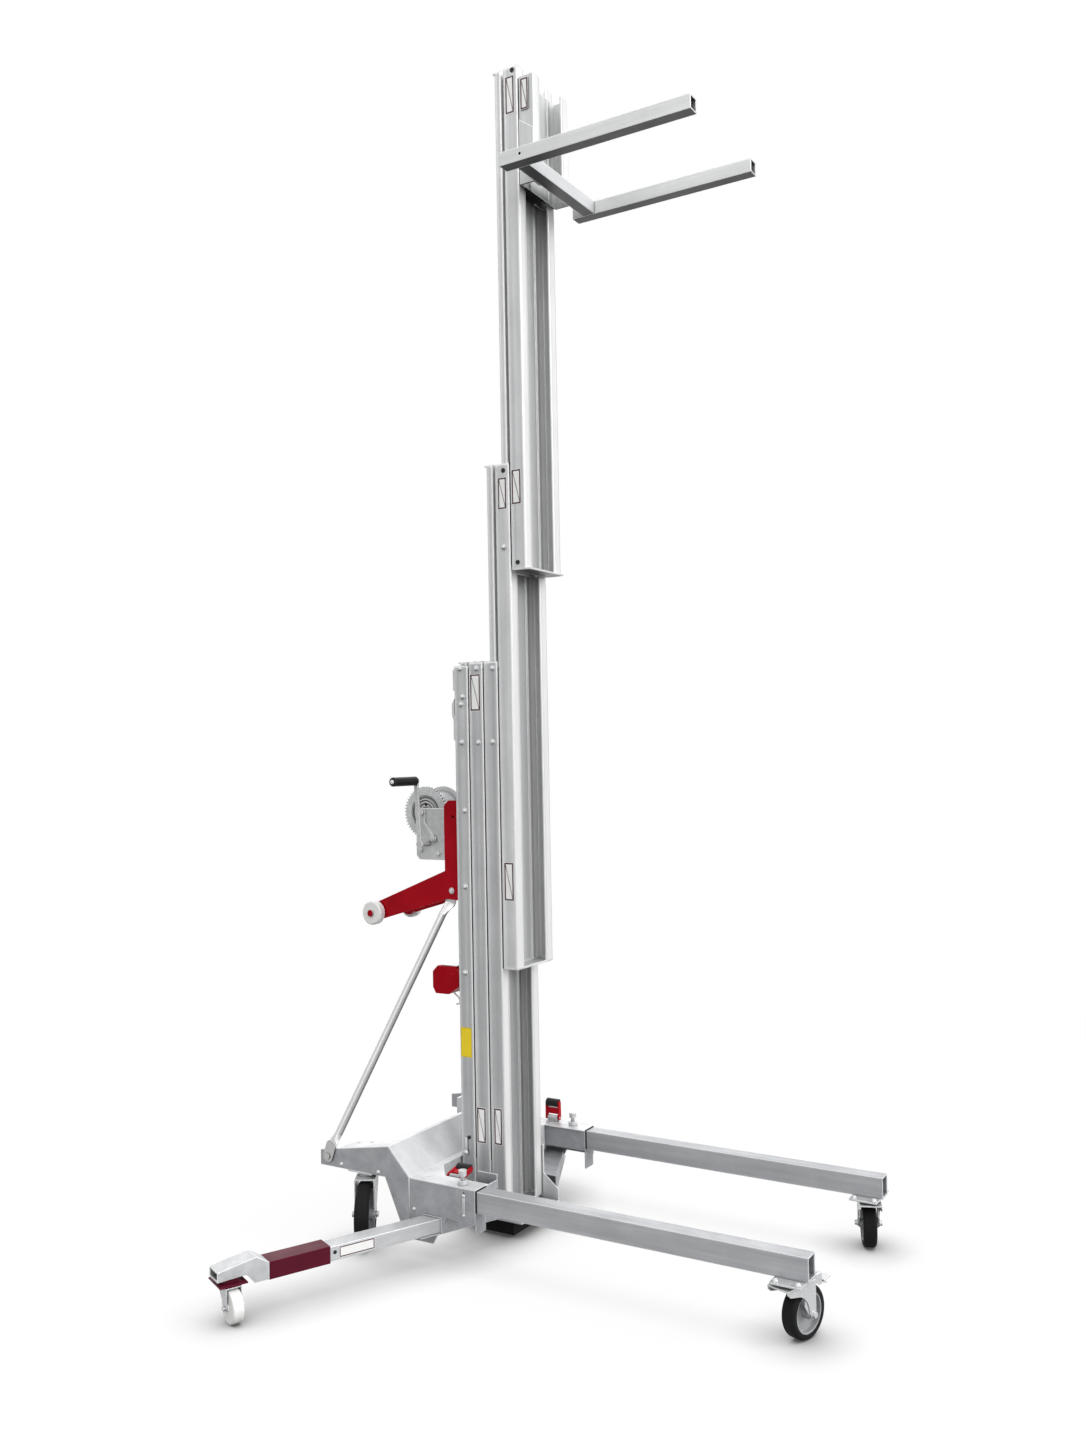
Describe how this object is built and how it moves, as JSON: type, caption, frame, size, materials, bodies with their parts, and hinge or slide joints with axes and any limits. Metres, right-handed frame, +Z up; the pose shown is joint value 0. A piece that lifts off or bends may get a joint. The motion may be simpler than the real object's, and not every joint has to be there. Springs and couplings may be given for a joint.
{
  "type": "duct lift",
  "caption": "Wheeled hand-winch duct lift with a telescopic mast, a forked load carriage on top, straddle legs with swivel casters and a slanted outrigger.",
  "frame": {"origin": "middle of the standing object's footprint, on the floor", "axes": "+X forward along the forks and legs, +Y to the left, +Z up along the mast"},
  "size_m": [1.7551, 1.5362, 3.9735],
  "materials": {
    "alloy": "satin extruded aluminium",
    "alloy_plate": "satin aluminium sheet",
    "zinc": "zinc plated steel",
    "red_paint": "dark red paint",
    "maroon_paint": "maroon paint",
    "guide_plastic": "white sliding plastic",
    "white_plastic": "white wheel plastic",
    "black_plastic": "black grip plastic",
    "black_rubber": "black wheel rubber",
    "grey_plastic": "grey wheel centre"
  },
  "bodies": {
    "base": {"side_frame_right": "alloy_plate", "side_frame_left": "alloy_plate", "deck": "alloy_plate", "mast_well": "alloy_plate", "foot_block": "black_rubber", "receiver_right": "alloy_plate", "receiver_left": "alloy_plate", "leg_right": "alloy", "leg_left": "alloy", "mast_a": "alloy", "guides_a": "guide_plastic", "strut": "zinc", "roller_bracket": "red_paint", "roller_axle": "zinc", "winch_frame": "zinc", "strap_reel": "red_paint", "grab_handles": "alloy_plate", "caster_plates": "zinc"},
    "stage_b": {"mast_b": "alloy", "guides_b": "guide_plastic"},
    "stage_c": {"mast_c": "alloy", "guides_c": "guide_plastic"},
    "stage_d": {"mast_d": "alloy", "guides_d": "guide_plastic"},
    "stage_e": {"mast_e": "alloy", "guides_e": "guide_plastic"},
    "load_carriage": {"carriage": "alloy", "crossbar": "alloy", "fork_right": "alloy", "fork_left": "alloy"},
    "drum": {"winch_drum": "zinc"},
    "crank_handle": {"crank": "zinc"},
    "crank_knob": {"crank_grip": "black_plastic"},
    "roller_right": {"load_roller_right": "white_plastic"},
    "roller_left": {"load_roller_left": "white_plastic"},
    "leg_lever_right": {"lever_right": "red_paint", "lever_grip_right": "black_plastic"},
    "leg_lever_left": {"lever_left": "red_paint", "lever_grip_left": "black_plastic"},
    "leg_screw_right": {"lock_screw_right": "zinc"},
    "leg_screw_left": {"lock_screw_left": "zinc"},
    "outrigger": {"outrigger_arm": "alloy", "outrigger_sleeve": "maroon_paint", "outrigger_end": "alloy_plate", "outrigger_plate": "maroon_paint"},
    "outrigger_swivel": {"outrigger_fork": "zinc"},
    "outrigger_roll": {"outrigger_wheel": "white_plastic"},
    "pedal": {"brake_pedal": "zinc"},
    "front_right_swivel": {"front_right_fork": "zinc"},
    "front_right_wheel": {"front_right_rim": "grey_plastic", "front_right_tyre": "black_rubber"},
    "front_left_swivel": {"front_left_fork": "zinc"},
    "front_left_wheel": {"front_left_rim": "grey_plastic", "front_left_tyre": "black_rubber"},
    "rear_right_swivel": {"rear_right_fork": "zinc"},
    "rear_right_wheel": {"rear_right_rim": "grey_plastic", "rear_right_tyre": "black_rubber"},
    "rear_left_swivel": {"rear_left_fork": "zinc"},
    "rear_left_wheel": {"rear_left_rim": "grey_plastic", "rear_left_tyre": "black_rubber"}
  },
  "joints": [
    {"name": "stage_b_slide", "type": "slide", "parent": "base", "child": "stage_b", "axis": [0, 0, 1], "range_m": [0, 1.4]},
    {"name": "stage_c_slide", "type": "slide", "parent": "stage_b", "child": "stage_c", "axis": [0, 0, 1], "range_m": [0, 1.4]},
    {"name": "stage_d_slide", "type": "slide", "parent": "stage_c", "child": "stage_d", "axis": [0, 0, 1], "range_m": [-0.671, 0.656]},
    {"name": "stage_e_slide", "type": "slide", "parent": "stage_d", "child": "stage_e", "axis": [0, 0, 1], "range_m": [-1.34, 0]},
    {"name": "carriage_slide", "type": "slide", "parent": "stage_e", "child": "load_carriage", "axis": [0, 0, 1], "range_m": [-1.29, 0]},
    {"name": "drum_turn", "type": "hinge", "parent": "base", "child": "drum", "pos_m": [-0.63455, 0.29829, 1.428], "axis": [0, 1, 0], "continuous": true},
    {"name": "crank_turn", "type": "hinge", "parent": "base", "child": "crank_handle", "pos_m": [-0.60772, 0.29829, 1.31875], "axis": [0, 1, 0], "continuous": true},
    {"name": "knob_turn", "type": "hinge", "parent": "crank_handle", "child": "crank_knob", "pos_m": [-0.61944, 0.09599, 1.54244], "axis": [0, 1, 0], "continuous": true},
    {"name": "roller_right_turn", "type": "hinge", "parent": "base", "child": "roller_right", "pos_m": [-0.83455, 0.20028, 1.0665], "axis": [0, 1, 0], "continuous": true},
    {"name": "roller_left_turn", "type": "hinge", "parent": "base", "child": "roller_left", "pos_m": [-0.83455, 0.39628, 1.0665], "axis": [0, 1, 0], "continuous": true},
    {"name": "lever_right_tilt", "type": "hinge", "parent": "base", "child": "leg_lever_right", "pos_m": [-0.36855, 0.01029, 0.2445], "axis": [1, 0, 0], "range_deg": [0, 77]},
    {"name": "lever_left_tilt", "type": "hinge", "parent": "base", "child": "leg_lever_left", "pos_m": [-0.38255, 0.67029, 0.2665], "axis": [1, 0, 0], "range_deg": [0, 77]},
    {"name": "screw_right_turn", "type": "hinge", "parent": "base", "child": "leg_screw_right", "pos_m": [-0.29055, -0.05971, 0.2525], "axis": [0, 0, 1], "continuous": true},
    {"name": "screw_left_turn", "type": "hinge", "parent": "base", "child": "leg_screw_left", "pos_m": [-0.29055, 0.65629, 0.2525], "axis": [0, 0, 1], "continuous": true},
    {"name": "outrigger_slide", "type": "slide", "parent": "base", "child": "outrigger", "axis": [-0.4226, -0.9063, 0], "range_m": [-0.2, 0]},
    {"name": "front_right_swivel_turn", "type": "hinge", "parent": "base", "child": "front_right_swivel", "pos_m": [0.81345, -0.05971, 0.176], "axis": [0, 0, 1], "continuous": true},
    {"name": "front_right_wheel_turn", "type": "hinge", "parent": "front_right_swivel", "child": "front_right_wheel", "pos_m": [0.82514, -0.02146, 0.075], "axis": [-0.9563, 0.2924, 0], "continuous": true},
    {"name": "front_left_swivel_turn", "type": "hinge", "parent": "base", "child": "front_left_swivel", "pos_m": [0.81345, 0.65629, 0.176], "axis": [0, 0, 1], "continuous": true},
    {"name": "front_left_wheel_turn", "type": "hinge", "parent": "front_left_swivel", "child": "front_left_wheel", "pos_m": [0.79846, 0.69337, 0.075], "axis": [-0.9272, -0.3746, 0], "continuous": true},
    {"name": "rear_right_swivel_turn", "type": "hinge", "parent": "base", "child": "rear_right_swivel", "pos_m": [-0.68855, -0.05097, 0.2355], "axis": [0, 0, 1], "continuous": true},
    {"name": "rear_right_wheel_turn", "type": "hinge", "parent": "rear_right_swivel", "child": "rear_right_wheel", "pos_m": [-0.66255, -0.096, 0.106], "axis": [0.866, 0.5, 0], "continuous": true},
    {"name": "rear_left_swivel_turn", "type": "hinge", "parent": "base", "child": "rear_left_swivel", "pos_m": [-0.68855, 0.64753, 0.2355], "axis": [0, 0, 1], "continuous": true},
    {"name": "rear_left_wheel_turn", "type": "hinge", "parent": "rear_left_swivel", "child": "rear_left_wheel", "pos_m": [-0.66255, 0.6025, 0.106], "axis": [0.866, 0.5, 0], "continuous": true},
    {"name": "outrigger_swivel_turn", "type": "hinge", "parent": "outrigger", "child": "outrigger_swivel", "pos_m": [-0.67619, -0.70894, 0.109], "axis": [0, 0, 1], "continuous": true},
    {"name": "outrigger_wheel_turn", "type": "hinge", "parent": "outrigger_swivel", "child": "outrigger_roll", "pos_m": [-0.64319, -0.72335, 0.048], "axis": [0.4003, 0.9164, 0], "continuous": true},
    {"name": "pedal_tilt", "type": "hinge", "parent": "front_right_swivel", "child": "pedal", "pos_m": [0.84151, 0.03209, 0.142], "axis": [-0.9563, 0.2924, 0], "range_deg": [0, 15]}
  ],
  "couplings": [
    {"joint": "crank_turn", "follows": "drum_turn", "ratio": -4}
  ]
}
